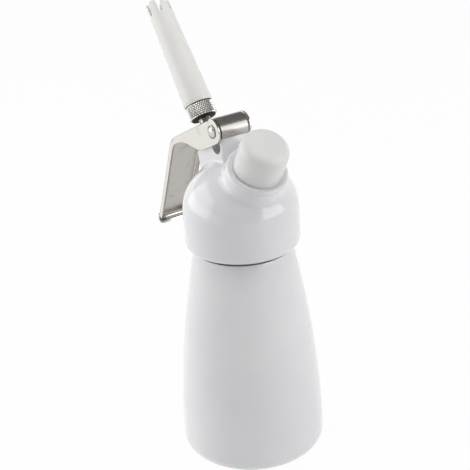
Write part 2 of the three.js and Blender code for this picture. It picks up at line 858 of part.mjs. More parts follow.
// Nozzle: a tapering plastic tube with a crown of teeth
const nozzleLow = nozzleSealHigh + nozzleGap;
const nozzleHigh = nozzleLow + nozzleLength;
const socketRadius = spigotRadius + nozzleSocketGap;
const socketTop = nozzleLow + nozzleSocketDepth;
const tipBore = nozzleTipRadius - nozzleWall;
const nozzleProfile = [
  [socketRadius, nozzleLow],
  [nozzleBaseRadius - nozzleFootInset, nozzleLow],
  [nozzleBaseRadius, nozzleLow + nozzleFootHeight],
  [nozzleTipRadius, nozzleHigh],
  [tipBore, nozzleHigh],
  [(tipBore + socketRadius) / 2, socketTop],
  [socketRadius, socketTop],
];
const crownCuts = [];
for (let i = 0; i < nozzleTeeth / 2; i++) {
  const depth = nozzleCutDepth - nozzleCutWidth / 2;
  const box = new THREE.BoxGeometry(nozzleCutWidth, 2 * nozzleBaseRadius, depth + overrun);
  box.translate(0, 0, nozzleHigh - (depth - overrun) / 2);
  const root = bar(nozzleCutWidth / 2, -nozzleBaseRadius, nozzleBaseRadius, smallSteps / 2);
  root.rotateX(Math.PI / 2).translate(0, 0, nozzleHigh - depth);
  const turn = (Math.PI * i) / (nozzleTeeth / 2);
  crownCuts.push(solid(box.rotateZ(turn)), solid(root.rotateZ(turn)));
}
piece(
  valveGroup,
  "nozzle",
  geometryOf(cut(solid(turned(nozzleProfile, middleSteps)), ...crownCuts)),
  plastic(),
);

// Charger inlet: a threaded nipple with its piercing pin, seals and check valve
whipper.add(inletGroup);
const flangeLow = inletGasketThickness + seatGap;
const flangeHigh = flangeLow + nippleFlangeThickness;
const nippleThread = [];
for (let q = nippleTop - nippleThreadPitch; q > flangeHigh + nippleThreadPitch / 2; q -= nippleThreadPitch) {
  nippleThread.unshift(
    [nippleThreadRadius - nippleThreadDepth, q],
    [nippleThreadRadius, q + nippleThreadPitch / 2],
  );
}
const shankRadius = inletBore - runningGap;
const piercerHole = piercerRadius + runningGap;
const nippleProfile = [
  [piercerHole, nippleShankEnd],
  [shankRadius, nippleShankEnd],
  [shankRadius, flangeLow],
  [nippleFlangeRadius, flangeLow],
  [nippleFlangeRadius, flangeHigh],
  [nippleThreadRadius, flangeHigh],
  ...nippleThread,
  [nippleThreadRadius - nippleThreadDepth, nippleTop],
  [nippleSocketRadius, nippleTop],
  [nippleSocketRadius, nippleSocketFloor],
  [piercerHole, nippleSocketFloor],
];
piece(inletGroup, "inlet_nipple", turned(nippleProfile, middleSteps), steel());
piece(
  inletGroup,
  "inlet_gasket",
  ring(inletBore, nippleFlangeRadius, 0, inletGasketThickness, middleSteps),
  rubber(),
);
const piercerProfile = [
  [piercerBore, piercerBottom],
  [piercerRadius, piercerBottom],
  [piercerRadius, piercerTop - piercerPoint],
  [piercerBore + runningGap, piercerTop],
  [piercerBore, piercerTop],
];
piece(inletGroup, "piercing_pin", turned(piercerProfile, smallSteps / 2), steel());
const chargerSealLow = nippleSocketFloor + seatGap;
piece(
  inletGroup,
  "charger_seal",
  ring(piercerHole, chargerSealRadius, chargerSealLow, chargerSealLow + chargerSealThickness),
  rubber(),
);
const checkValveBore = piercerRadius + seatGap;
const checkValveProfile = [
  [0, checkValveBottom],
  [checkValveRadius, checkValveBottom],
  [checkValveRadius, checkValveTop],
  [checkValveBore, checkValveTop],
  [checkValveBore, checkValveBottom + checkValveFloor],
  [0, checkValveBottom + checkValveFloor],
];
piece(inletGroup, "inlet_check_valve", turned(checkValveProfile, smallSteps), rubber());

// Charger cap: a hollow plastic cap with a sealing disc, standing inside the rim of the inlet
const capInnerRadius = capRadius - capWall;
const capInnerTop = capHeight - capWall;
const capProfile = [
  [0, capInnerTop],
  [capInnerRadius - capWall, capInnerTop],
  [capInnerRadius, capInnerTop - capWall],
  [capInnerRadius, 0],
  [capRadius - capFootInset, 0],
  [capRadius, capFootInset],
  ...arc(capRadius - capEdgeRadius, capHeight - capEdgeRadius, capEdgeRadius, 0, capEdgeSweep),
  [0, capHeight + capCrown],
];
piece(inletGroup, "charger_cap", turned(capProfile, largeSteps), plastic());
const linerTop = capInnerTop - seatGap;
const linerRadius = capInnerRadius - capWall - linerInset;
piece(
  inletGroup,
  "cap_liner",
  bar(linerRadius, linerTop - linerThickness, linerTop, middleSteps),
  silicone(),
);

export default whipper;
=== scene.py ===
import math

import bmesh
import bpy
from mathutils import Matrix, Vector


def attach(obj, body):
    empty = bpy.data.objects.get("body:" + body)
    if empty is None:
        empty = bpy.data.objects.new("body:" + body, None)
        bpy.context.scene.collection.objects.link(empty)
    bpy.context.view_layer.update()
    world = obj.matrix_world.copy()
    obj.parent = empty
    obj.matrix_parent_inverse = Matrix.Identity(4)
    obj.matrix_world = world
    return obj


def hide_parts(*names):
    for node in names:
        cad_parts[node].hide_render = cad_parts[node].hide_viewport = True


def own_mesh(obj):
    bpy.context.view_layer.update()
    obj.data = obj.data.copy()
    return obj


# A whipped cream dispenser on a pale studio floor. Lengths are in millimetres until a piece is
# finished, which turns them to metres. +X points to the charger inlet, Y runs along the lever's pivot.
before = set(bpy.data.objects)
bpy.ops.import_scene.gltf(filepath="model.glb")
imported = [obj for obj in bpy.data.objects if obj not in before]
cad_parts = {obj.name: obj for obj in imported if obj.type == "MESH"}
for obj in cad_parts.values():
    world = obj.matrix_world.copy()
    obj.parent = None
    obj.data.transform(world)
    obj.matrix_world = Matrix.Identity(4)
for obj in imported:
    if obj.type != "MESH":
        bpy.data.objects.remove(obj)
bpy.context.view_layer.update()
MM = 0.001
UP = Vector((0, 0, 1))

# Sizes of the dispenser
BASE_RADIUS = 35
BASE_CORNER = 8
SHOULDER_RADIUS = 23.6
SHOULDER_HEIGHT = 108.8
SHOULDER_DROP = 0.4
SHOULDER_FLAT = SHOULDER_HEIGHT - SHOULDER_DROP
SIDE_CURVE = 1.86
BOTTLE_WALL = 1.2
NECK_RADIUS = 22
NECK_BORE = 20.4
NECK_TOP = 126
THREAD_PITCH = 4
THREAD_TURNS = 1.5
THREAD_START = 114
HEAD_RADIUS = 27.5
HEAD_BOTTOM = 109.9
HEAD_EDGE = 2.4
HEAD_SHOULDER = 128
DOME_HEIGHT = 23.5
HEAD_BORE = 23.6
HEAD_CEILING = 128.8
CAVITY_RADIUS = 17.5
CAVITY_TOP = 137
PIVOT_X = -6.9
PIVOT_Z = 165.4
PIN_RADIUS = 1.7
RIVET_RADIUS = 3.3
LUG_RADIUS = 4.5
HORN_HALF = 7.2
HORN_FRONT = 5.6
HORN_HOLE = 3.9
BUSH_BORE = 2.66
STEM_TILT = 38.5
STEM_ARM = 18.3
STEM_SLOT = 3.9
VALVE_BOSS = 7.4
VALVE_BORE = 4.6
CREAM_WAY = 5.2
LEVER_HALF = 9
SHEET = 1.1
WEB_SLOPE = 28.4
WEB_DISTANCE = 5.9
CORNER_DISTANCE = 44
CORNER_RADIUS = 11
HANDLE_SLOPE = 68
HANDLE_LENGTH = 50.5
HANDLE_END = 2.6
LIP_TURN = 128
LIP_CORNER = 5.4
FLANGE = 3.5
ROLL_HALF = 7.1
ROLL_END = 27
OUTER_FOLD = 1.7
EAR_RADIUS = 6
SLIT_BACK = 1.5
ADAPTER_LOW = 12.85
ADAPTER_RADIUS = 7
ADAPTER_HIGH = 19.45
SPIGOT_RADIUS = 4.9
SPIGOT_TOP = 27.95
NOZZLE_LOW = 20.45
NOZZLE_SKIRT = 19.65
NOZZLE_HIGH = 74.45
NOZZLE_BASE = 7.1
NOZZLE_TIP = 5.6
NOZZLE_WALL = 1.4
SLOT_DEPTH = 6.3
TEETH_TURN = 8
INLET_X = 16.5
INLET_Z = 151.8
INLET_TILT = 30
RING_RADIUS = 14.5
RING_WIDTH = 2.8
RING_TOP = 0.7
INLET_BOSS = 8
INLET_BORE = 6.5
GAS_WAY = 3.3
CAP_RADIUS = 11.5
CAP_HEIGHT = 17.4
CAP_CROWN = 0.7
CAP_EDGE = 4.6
CAP_WALL = 1.6

radians = math.radians


def axis_at(x, z, degrees, axis):
    """A place in the side view, leaning by that angle about X or Y."""
    return Matrix.Translation((x, 0, z)) @ Matrix.Rotation(radians(degrees), 4, axis)


# The leaning axes of the valve and of the inlet, and the pivot's axis along Y
COS_TILT, SIN_TILT = math.cos(radians(STEM_TILT)), math.sin(radians(STEM_TILT))
VALVE = axis_at(PIVOT_X - STEM_ARM * COS_TILT, PIVOT_Z - STEM_ARM * SIN_TILT, -STEM_TILT, "Y")
INLET = axis_at(INLET_X, INLET_Z, INLET_TILT, "Y")
PIVOT = axis_at(PIVOT_X, PIVOT_Z, 90, "X")


# Shapes

def arc(x, z, radius, start, end, steps=8):
    """Points of an arc round (x, z), between two angles in degrees."""
    turns = [radians(start + (end - start) * i / steps) for i in range(steps + 1)]
    return [(x + radius * math.cos(t), z + radius * math.sin(t)) for t in turns]


def rounded(corners, closed=False, steps=5):
    """A line whose corners (x, z, radius) are rounded; a corner without a radius stays sharp."""
    line = []
    for i, corner in enumerate(corners):
        here = Vector(corner[:2])
        radius = corner[2] if len(corner) > 2 else 0
        inner = closed or 0 < i < len(corners) - 1
        if not radius or not inner:
            line.append(tuple(here))
            continue
        before = Vector(corners[i - 1][:2]) - here
        after = Vector(corners[(i + 1) % len(corners)][:2]) - here
        half = before.angle(after) / 2
        reach = min(radius / math.tan(half), 0.49 * before.length, 0.49 * after.length)
        a, b = here + before.normalized() * reach, here + after.normalized() * reach
        for j in range(steps + 1):
            t = j / steps
            line.append(tuple(a.lerp(here, t).lerp(here.lerp(b, t), t)))
    return line


def spun(profile, steps=96):
    """A profile of (radius, height) turned round Z: it closes on itself, or starts and ends on the axis."""
    bm = bmesh.new()
    verts = [bm.verts.new((r, 0, z)) for r, z in profile]
    ends = verts[1:] + verts[:1] if profile[0][0] > 0 else verts[1:]
    for a, b in zip(verts, ends):
        bm.edges.new((a, b))
    geom = bm.verts[:] + bm.edges[:]
    bmesh.ops.spin(bm, geom=geom, cent=(0, 0, 0), axis=UP, angle=math.tau, steps=steps, use_merge=True)
    bmesh.ops.remove_doubles(bm, verts=bm.verts[:], dist=0.0005)
    bmesh.ops.recalc_face_normals(bm, faces=bm.faces[:])
    return bm


def coil(section, pitch, turns, steps=32):
    """A closed section of (radius, height) that climbs round Z: a thread's ridge or a spring's wire."""
    bm = bmesh.new()
    verts = [bm.verts.new((r, 0, z)) for r, z in section]
    start = bm.faces.new(verts)
    count = round(turns * steps)
    bmesh.ops.spin(
        bm, geom=bm.verts[:] + bm.edges[:] + [start], cent=(0, 0, 0), axis=UP, dvec=(0, 0, pitch / steps),
        angle=math.tau * count / steps, steps=count, use_duplicate=False,
    )
    bmesh.ops.remove_doubles(bm, verts=bm.verts[:], dist=0.0005)
    bmesh.ops.holes_fill(bm, edges=bm.edges[:], sides=0)
    bmesh.ops.recalc_face_normals(bm, faces=bm.faces[:])
    return bm


def verts_of(geom):
    return [g for g in geom if isinstance(g, bmesh.types.BMVert)]


def edges_of(geom):
    return [g for g in geom if isinstance(g, bmesh.types.BMEdge)]


def plate(outline, low, high, edge=0, segments=2):
    """A sheet cut to an outline of (x, z), between two places along Y, with its rims broken by edge."""
    bm = bmesh.new()
    face = bm.faces.new([bm.verts.new((x, low, z)) for x, z in outline])
    made = bmesh.ops.extrude_face_region(bm, geom=[face], use_keep_orig=True)
    bmesh.ops.translate(bm, verts=verts_of(made["geom"]), vec=(0, high - low, 0))
    bmesh.ops.recalc_face_normals(bm, faces=bm.faces[:])
    if edge:
        rims = [e for e in bm.edges if abs(e.verts[0].co.y - e.verts[1].co.y) < 1e-6]
        bmesh.ops.bevel(
            bm, geom=rims, offset=edge, segments=segments, profile=0.5, affect="EDGES", material=-1,
            clamp_overlap=True,
        )
    return bm


def held(bm, name="scratch"):
    """An object that holds a mesh while modifiers work on it."""
    mesh = bpy.data.meshes.new(name)
    bm.to_mesh(mesh)
    bm.free()
    obj = bpy.data.objects.new(name, mesh)
    bpy.context.scene.collection.objects.link(obj)
    return obj


def applied(obj):
    """The object's mesh after its modifiers, and the object is gone."""
    bpy.context.view_layer.update()
    mesh = bpy.data.meshes.new_from_object(obj.evaluated_get(bpy.context.evaluated_depsgraph_get()))
    bm = bmesh.new()
    bm.from_mesh(mesh)
    bpy.data.objects.remove(obj)
    bpy.data.meshes.remove(mesh)
    return bm


def combined(base, others, operation):
    """A closed mesh joined with others (UNION) or cut by them (DIFFERENCE)."""
    body = held(base)
    tools = [held(other) for other in others]
    for tool in tools:
        boolean = body.modifiers.new("boolean", "BOOLEAN")
        boolean.operation = operation
        boolean.solver = "MANIFOLD"
        boolean.object = tool
    result = applied(body)
    for tool in tools:
        bpy.data.objects.remove(tool)
    return result


def placed(bm, matrix):
    bmesh.ops.transform(bm, matrix=matrix, verts=bm.verts[:])
    if matrix.determinant() < 0:
        bmesh.ops.reverse_faces(bm, faces=bm.faces[:])
    return bm


def together(meshes):
    """Several meshes as one, without joining their walls."""
    whole = bmesh.new()
    for bm in meshes:
        mesh = bpy.data.meshes.new("part")
        bm.to_mesh(mesh)
        bm.free()
        whole.from_mesh(mesh)
        bpy.data.meshes.remove(mesh)
    return whole


def cast(meshes, fillet, coarse, fine, smoothing):
    """Overlapping solids as one casting, whose inner corners get fillets of about that radius."""
    obj = held(together(meshes))
    for offset in (fillet, -fillet, 0):
        remesh = obj.modifiers.new("remesh", "REMESH")
        remesh.mode = "VOXEL"
        remesh.voxel_size = coarse if offset else fine
        if offset:
            displace = obj.modifiers.new("displace", "DISPLACE")
            displace.mid_level = 0
            displace.strength = offset
    smooth = obj.modifiers.new("smooth", "SMOOTH")
    smooth.factor = 0.5
    smooth.iterations = smoothing
    return applied(obj)


def finish(bm, *tests):
    """A piece's other finishes, each on the faces whose centre and outward way pass its test."""
    bm.normal_update()
    for face in bm.faces:
        passed = [i + 1 for i, test in enumerate(tests) if test(face.calc_center_median(), face.normal)]
        face.material_index = passed[0] if passed else 0
    return bm


def piece(name, bm, body, materials, stands_for, place=None, crease=32):
    """A finished piece: in its place, in metres, riding on its body, instead of the nodes it stands for."""
    bmesh.ops.transform(bm, matrix=Matrix.Scale(MM, 4) @ (place or Matrix()), verts=bm.verts[:])
    obj = held(bm, name)
    obj.data.shade_smooth()
    obj.data.set_sharp_from_angle(angle=radians(crease))
    for material in materials if isinstance(materials, tuple) else (materials,):
        obj.data.materials.append(material)
    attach(obj, body)
    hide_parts(*stands_for)
    return obj


# Materials

def linear(code, alpha=1.0):
    """An sRGB hex colour as linear values."""
    parts = [int(code[i : i + 2], 16) / 255 for i in (1, 3, 5)]
    return [c / 12.92 if c <= 0.04045 else ((c + 0.055) / 1.055) ** 2.4 for c in parts] + [alpha]


def add(material, kind, inputs=None, **settings):
    """One node with its settings; an input is a value or the socket that it is linked from."""
    tree = material.node_tree
    made = tree.nodes.new("ShaderNode" + kind)
    for key, value in settings.items():
        setattr(made, key, value)
    for key, value in (inputs or {}).items():
        if isinstance(value, bpy.types.NodeSocket):
            tree.links.new(value, made.inputs[key])
        else:
            made.inputs[key].default_value = value
    return made


def surface(name):
    """A material with its shader, its output and the object's own coordinates."""
    material = bpy.data.materials.new(name)
    material.use_nodes = True
    material.node_tree.nodes.clear()
    coords = add(material, "TexCoord").outputs["Object"]
    shader = add(material, "BsdfPrincipled")
    add(material, "OutputMaterial", {"Surface": shader.outputs[0]})
    return material, coords, shader


def noise(material, space, size, detail):
    """A noise whose features are about this many millimetres wide."""
    made = add(material, "TexNoise", {"Vector": space, "Scale": 1 / (size * MM), "Detail": detail})
    return made.outputs["Fac"]


def two_tones(material, factor, dark, light):
    """The colours that a noise gives between two close tones."""
    ramp = add(material, "ValToRGB", {"Fac": factor})
    for stop, place, code in zip(ramp.color_ramp.elements, (0.3, 0.7), (dark, light)):
        stop.position = place
        stop.color = linear(code)
    return ramp.outputs["Color"]


def skin(material, shader, haze, rough_low, rough_high, grain, strength, depth):
    """Roughness that one noise varies between two values, and small bumps that another one gives."""
    link = material.node_tree.links.new
    rough = add(material, "MapRange", {"Value": haze, "To Min": rough_low, "To Max": rough_high})
    link(rough.outputs["Result"], shader.inputs["Roughness"])
    bump = add(material, "Bump", {"Height": grain, "Strength": strength, "Distance": depth})
    link(bump.outputs["Normal"], shader.inputs["Normal"])


def paint_material():
    """Gloss powder coat on aluminium: sprayed and baked, an even cool white with a faint orange peel."""
    material, coords, shader = surface("gloss_powder_coat")
    tone = two_tones(material, noise(material, coords, 28, 2.0), "#e9e9ec", "#ededef")
    material.node_tree.links.new(tone, shader.inputs["Base Color"])
    haze, peel = noise(material, coords, 9, 3.0), noise(material, coords, 1.6, 1.0)
    skin(material, shader, haze, 0.07, 0.12, peel, 0.02, 0.0003)
    shader.inputs["IOR"].default_value = 1.5
    shader.inputs["Coat Weight"].default_value = 0.8
    shader.inputs["Coat Roughness"].default_value = 0.03
    return material


def steel_material(name, dark, light, worn_tone, rough_low, rough_high):
    """Stainless sheet, pressed and buffed: a warm bright grey with fine polishing lines and a few scuffs."""
    material, coords, shader = surface(name)
    shader.inputs["Metallic"].default_value = 1.0
    lines = add(material, "Mapping", {"Vector": coords, "Scale": (6.0, 0.6, 6.0)})
    grain = noise(material, lines.outputs[0], 3, 4.0)
    cloud = noise(material, coords, 7, 3.0)
    scuff = add(material, "MapRange", {"Value": cloud, "From Min": 0.62, "From Max": 0.76})
    tone = two_tones(material, grain, dark, light)
    worn = add(
        material, "Mix", {"Factor": scuff.outputs["Result"], "A": tone, "B": linear(worn_tone)},
        data_type="RGBA",
    )
    colour = next(s for s in worn.outputs if s.type == "RGBA")
    material.node_tree.links.new(colour, shader.inputs["Base Color"])
    skin(material, shader, grain, rough_low, rough_high, grain, 0.02, 0.0002)
    return material


def plain_material(name, dark, light, rough_low, rough_high, size, metallic=0.0):
    """A moulded or turned surface: two close tones in a fine grain of that many millimetres."""
    material, coords, shader = surface(name)
    shader.inputs["Metallic"].default_value = metallic
    grain = noise(material, coords, size, 3.0)
    material.node_tree.links.new(two_tones(material, grain, dark, light), shader.inputs["Base Color"])
    skin(material, shader, grain, rough_low, rough_high, grain, 0.03, 0.0002)
    return material


PAINT = paint_material()
STEEL = steel_material("buffed_stainless", "#e0dcd5", "#ebe8e2", "#d5d1ca", 0.08, 0.16)
# The same sheet inside the handle and on the roll, satin, and greyer as painted shade
SHADED_SATIN_STEEL = steel_material("satin_stainless_painted_shade", "#b9b6b1", "#c0bdb8", "#a6a39e", 0.24, 0.34)
# The same sheet, darker and rougher: painted shade and painted dark reflections on the lever's rims, folds
# and lip corners and on the rivet's rim
PAINTED_SHADE_STEEL = steel_material("painted_shade_stainless", "#98948f", "#a5a19c", "#8c8883", 0.3, 0.4)
# Aluminium, turned and left unpainted where the thread runs and inside the bottle
ALUMINIUM = plain_material("bare_aluminium", "#a9aaac", "#b8b9bb", 0.34, 0.46, 2.0, metallic=1.0)
# Nickel-plated brass, turned: a bright grey that mirrors, with a little warmth
NICKEL = plain_material("nickel_plated_brass", "#cdc9c2", "#dcd8d1", 0.14, 0.24, 2.0, metallic=1.0)
# The same plating on the knurl, lighter in colour as painted light; its rolled diamonds are satin and catch
# the light one by one
LIGHTENED_KNURL_NICKEL = plain_material("knurled_nickel_painted_light", "#e9e7e3", "#f0eeea", 0.2, 0.3, 2.0, metallic=1.0)
# Brass, turned and left bare inside the valve
BRASS = plain_material("turned_brass", "#b8934a", "#cfae68", 0.22, 0.34, 2.0, metallic=1.0)
# Nitrile rubber, moulded: matt and nearly black
RUBBER = plain_material("nitrile_rubber", "#1d1d1e", "#2b2b2c", 0.55, 0.7, 1.2)
# Silicone, moulded: milky and matt
SILICONE = plain_material("milky_silicone", "#cfcfca", "#dadad6", 0.45, 0.6, 1.5)
# Polypropylene, moulded: a warm white with a satin skin
PLASTIC = plain_material("white_polypropylene", "#f1f0ec", "#f4f3f0", 0.3, 0.36, 12.0)
# The same plastic in the cap, a shade greyer, with a skin that light enters a little
CAP_PLASTIC = plain_material("natural_polypropylene", "#e8e8e7", "#ecece9", 0.18, 0.24, 12.0)
cap_skin = next(n for n in CAP_PLASTIC.node_tree.nodes if n.type == "BSDF_PRINCIPLED")
cap_skin.inputs["Subsurface Weight"].default_value = 0.15
cap_skin.inputs["Subsurface Radius"].default_value = (1.0, 0.9, 0.8)
cap_skin.inputs["Subsurface Scale"].default_value = 0.0015

# CAD nodes that stay as they are get the finish of what they are
for nodes, material in (
    (("stem_guide", "valve_seat", "seal_nut"), BRASS),
    (("stem_o_ring", "valve_seal", "nozzle_seal"), RUBBER),
    (("inlet_gasket", "charger_seal", "inlet_check_valve"), RUBBER),
    (("head_gasket", "cap_liner"), SILICONE),
    (("pivot_bush",), PLASTIC),
):
    for node in nodes:
        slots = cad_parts[node].data.materials
        slots.clear()
        slots.append(material)


# Bottle

def side(inset, count):
    """The bottle's convex side, from above the foot's corner to the shoulder."""
    points = []
    for i in range(1, count + 1):
        share = i / count
        radius = BASE_RADIUS - (BASE_RADIUS - SHOULDER_RADIUS) * share**SIDE_CURVE - inset
        points.append((radius, BASE_CORNER + (SHOULDER_HEIGHT - BASE_CORNER) * share))
    return points


def thread_ridge(root, way, start):
    """A screw thread's ridge on a wall of that radius, outwards (1) or inwards (-1), from a height on."""
    sunk, crest = root - 0.5 * way, root + way
    foot, top = 0.95, 0.45
    section = [(sunk, -foot), (root, -foot), (crest, -top), (crest, top), (root, foot), (sunk, foot)]
    if way < 0:
        # The section is mirrored, so its order is turned round as well
        section = section[:1] + section[:0:-1]
    return placed(coil(section, THREAD_PITCH, THREAD_TURNS, 64), Matrix.Translation((0, 0, start)))


foot_x = BASE_RADIUS - BASE_CORNER
foot_hollow = 0.35
floor_top = 1.3
outer_side = side(0, 28)
bottle_profile = [
    (0, foot_hollow),
    (foot_x - 3, foot_hollow),
    (foot_x - 2, 0),
    *arc(foot_x, BASE_CORNER, BASE_CORNER, -90, 0, 16),
    *outer_side[:-1],
    *rounded([
        outer_side[-2],
        (SHOULDER_RADIUS + 0.15, SHOULDER_FLAT, 0.5),
        (NECK_RADIUS, SHOULDER_FLAT, 0.2),
        (NECK_RADIUS, NECK_TOP, 0.4),
        (NECK_BORE, NECK_TOP, 0.4),
        (NECK_BORE, SHOULDER_HEIGHT + 1),
    ])[1:],
    *reversed(side(BOTTLE_WALL, 12)),
    *arc(foot_x, BASE_CORNER, BASE_CORNER - BOTTLE_WALL, 0, -80, 8),
    (foot_x - 2, floor_top),
    (0, floor_top),
]


def bare_bottle(spot, way):
    """The neck with its thread, and the inside."""
    neck = spot.z > SHOULDER_FLAT - 0.1 and spot.xy.length < NECK_RADIUS + 1.1
    return neck or spot.z > 1 and way.xy.dot(spot.xy) <= 0


shell = finish(together([spun(bottle_profile, 160), thread_ridge(NECK_RADIUS, 1, THREAD_START)]), bare_bottle)
piece("bottle_shell", shell, "bottle", (PAINT, ALUMINIUM), ["bottle"])


# Head

def beside_valve(across, along):
    """A point of the side view, from its distance off the pivot across the valve's axis and along it."""
    return (PIVOT_X - across * COS_TILT - along * SIN_TILT, PIVOT_Z - across * SIN_TILT + along * COS_TILT)


def bar_on(place, radius, low, high):
    """A round bar along a leaning axis."""
    return placed(spun([(0, low), (radius, low), (radius, high), (0, high)], 48), place)


def cross_bar(radius, x, z):
    """A round bar along Y, for cutting."""
    return bar_on(axis_at(x, z, 90, "X"), radius, -12, 12)


DOME_STEPS = 24
dome_profile = [
    (0, HEAD_BOTTOM),
    *arc(HEAD_RADIUS - HEAD_EDGE, HEAD_BOTTOM + HEAD_EDGE, HEAD_EDGE, -90, 0, 8),
    *[(HEAD_RADIUS * math.cos(t), HEAD_SHOULDER + DOME_HEIGHT * math.sin(t))
      for t in [math.pi / 2 * i / DOME_STEPS for i in range(DOME_STEPS)]],
    (0, HEAD_SHOULDER + DOME_HEIGHT),
]
horn_outline = rounded([
    (PIVOT_X + HORN_FRONT, PIVOT_Z - 32),
    (PIVOT_X + HORN_FRONT, PIVOT_Z - 5, 2.5),
    *[(*p, 0) for p in arc(PIVOT_X, PIVOT_Z, LUG_RADIUS, 0, 90 + STEM_TILT, 10)],
    (*beside_valve(10.5, -0.3), 1.5),
    (*beside_valve(25, -0.3), 1.5),
    (*beside_valve(27.2, -7.1), 3),
    (*beside_valve(29.4, -13.9), 2),
    beside_valve(STEM_ARM, -23.1),
], closed=True)
horn = plate(horn_outline, -HORN_HALF, HORN_HALF, 1.7, 4)
boss = [(0, -14), (RING_RADIUS + 0.5, -14), (RING_RADIUS - RING_TOP, -RING_TOP), (0, -RING_TOP)]
dome_and_boss = [spun(dome_profile, 128), placed(spun(boss, 96), INLET)]
casting = cast(dome_and_boss, fillet=3.5, coarse=0.7, fine=0.5, smoothing=12)
casting = cast([casting, horn], fillet=0.9, coarse=0.5, fine=0.45, smoothing=8)
bead = RING_WIDTH / 2
ring_inside = CAP_RADIUS + 0.04
ring_profile = [
    (ring_inside, -2),
    (RING_RADIUS - 0.2, -2),
    *arc(RING_RADIUS - bead, RING_TOP - bead, bead, -40, 130, 14),
    (ring_inside, 0.2),
]
casting = combined(casting, [placed(spun(ring_profile, 96), INLET)], "UNION")
mouth_bevel = 0.9
bore_profile = [
    (0, HEAD_BOTTOM - 1),
    (HEAD_BORE + mouth_bevel, HEAD_BOTTOM - 1),
    (HEAD_BORE + mouth_bevel, HEAD_BOTTOM),
    (HEAD_BORE, HEAD_BOTTOM + mouth_bevel),
    (HEAD_BORE, HEAD_CEILING),
    (CAVITY_RADIUS, HEAD_CEILING),
    (CAVITY_RADIUS, 132.9),
    (13.4, CAVITY_TOP),
    (0, CAVITY_TOP),
]
casting = combined(casting, [spun(bore_profile, 128)], "DIFFERENCE")
casting = combined(casting, [
    bar_on(VALVE, VALVE_BOSS, -24, -7),
    bar_on(INLET, INLET_BOSS, -16, -12),
], "UNION")
casting = combined(casting, [
    bar_on(VALVE, VALVE_BORE, -25, 8),
    bar_on(VALVE, CREAM_WAY, -38, -24),
    bar_on(INLET, INLET_BORE, -12, 8),
    bar_on(INLET, GAS_WAY, -17, -11),
    cross_bar(BUSH_BORE, PIVOT_X, PIVOT_Z),
    cross_bar(HORN_HOLE, PIVOT_X - 0.3, PIVOT_Z - 7.6),
], "DIFFERENCE")


def bare_casting(spot, way):
    """The inside of the head with its thread."""
    inside = spot.xy.length < HEAD_BORE + 0.7 and HEAD_BOTTOM < spot.z < CAVITY_TOP + 0.3
    return inside and (way.xy.dot(spot.xy) < 0 or abs(way.z) > 0.9)


inner_thread = thread_ridge(HEAD_BORE, -1, THREAD_START + THREAD_PITCH / 2)
casting = finish(together([casting, inner_thread]), bare_casting)
piece("head_casting", casting, "head", (PAINT, ALUMINIUM), ["head"])


# Lever: a pressed channel with two ears, a web that rolls round the pivot, and a turned lip

def heading(angle):
    return Vector((math.cos(radians(angle)), 0, math.sin(radians(angle))))


WEB = heading(180 + WEB_SLOPE)
HANDLE = heading(180 + HANDLE_SLOPE)
PIVOT_POINT = Vector((PIVOT_X, 0, PIVOT_Z))
BEND_ANGLE = HANDLE_SLOPE - WEB_SLOPE
BEND_REACH = CORNER_RADIUS * math.tan(radians(BEND_ANGLE / 2))


def square_to(way):
    """Outwards from the sheet that runs that way."""
    return Vector((way.z, 0, -way.x))


def on_web(along, height, y=0):
    return PIVOT_POINT + WEB * along + square_to(WEB) * height + Vector((0, y, 0))


HANDLE_START = on_web(CORNER_DISTANCE, WEB_DISTANCE)
BEND_CENTRE = on_web(CORNER_DISTANCE - BEND_REACH, WEB_DISTANCE - CORNER_RADIUS)


def beside_handle(along, depth, y=0):
    return HANDLE_START + HANDLE * along - square_to(HANDLE) * depth + Vector((0, y, 0))


def swept(section, moves):
    """A closed section taken along runs ("run", vector) and bends ("bend", centre, degrees, steps)."""
    bm = bmesh.new()
    first = bm.faces.new([bm.verts.new(p) for p in section])
    edges, verts = first.edges[:], first.verts[:]
    for kind, *move in moves:
        if kind == "run":
            made = bmesh.ops.extrude_edge_only(bm, edges=edges)["geom"]
            verts = verts_of(made)
            bmesh.ops.translate(bm, verts=verts, vec=move[0])
            edges = [e for e in edges_of(made) if e.verts[0] in verts and e.verts[1] in verts]
        else:
            centre, angle, steps = move
            made = bmesh.ops.spin(
                bm, geom=verts + edges, cent=centre, axis=(0, 1, 0), angle=radians(angle), steps=steps
            )["geom_last"]
            edges, verts = edges_of(made), verts_of(made)
    bmesh.ops.remove_doubles(bm, verts=bm.verts[:], dist=0.0005)
    bmesh.ops.holes_fill(bm, edges=bm.edges[:], sides=0)
    bmesh.ops.recalc_face_normals(bm, faces=bm.faces[:])
    return bm


channel_section = rounded([
    (-LEVER_HALF, FLANGE, 0.3),
    (-LEVER_HALF, 0, OUTER_FOLD),
    (LEVER_HALF, 0, OUTER_FOLD),
    (LEVER_HALF, FLANGE, 0.3),
    (LEVER_HALF - SHEET, FLANGE, 0.3),
    (LEVER_HALF - SHEET, SHEET, OUTER_FOLD - SHEET),
    (SHEET - LEVER_HALF, SHEET, OUTER_FOLD - SHEET),
    (SHEET - LEVER_HALF, FLANGE, 0.3),
], closed=True, steps=6)
channel = swept(
    [on_web(SLIT_BACK, WEB_DISTANCE - depth, y) for y, depth in channel_section],
    [
        ("run", WEB * (CORNER_DISTANCE - BEND_REACH - SLIT_BACK)),
        ("bend", BEND_CENTRE, -BEND_ANGLE, 12),
        ("run", HANDLE * (HANDLE_LENGTH - BEND_REACH)),
    ],
)
strip_section = [(-ROLL_HALF, 0), (ROLL_HALF, 0), (ROLL_HALF, SHEET), (-ROLL_HALF, SHEET)]
roll = swept(
    [on_web(SLIT_BACK + 0.4, WEB_DISTANCE - depth, y) for y, depth in strip_section],
    [
        ("run", -WEB * (SLIT_BACK + 0.4)),
        ("bend", PIVOT_POINT, 90 + WEB_SLOPE + ROLL_END, 24),
    ],
)
LIP_CENTRE = beside_handle(HANDLE_LENGTH + 0.4, HANDLE_END)
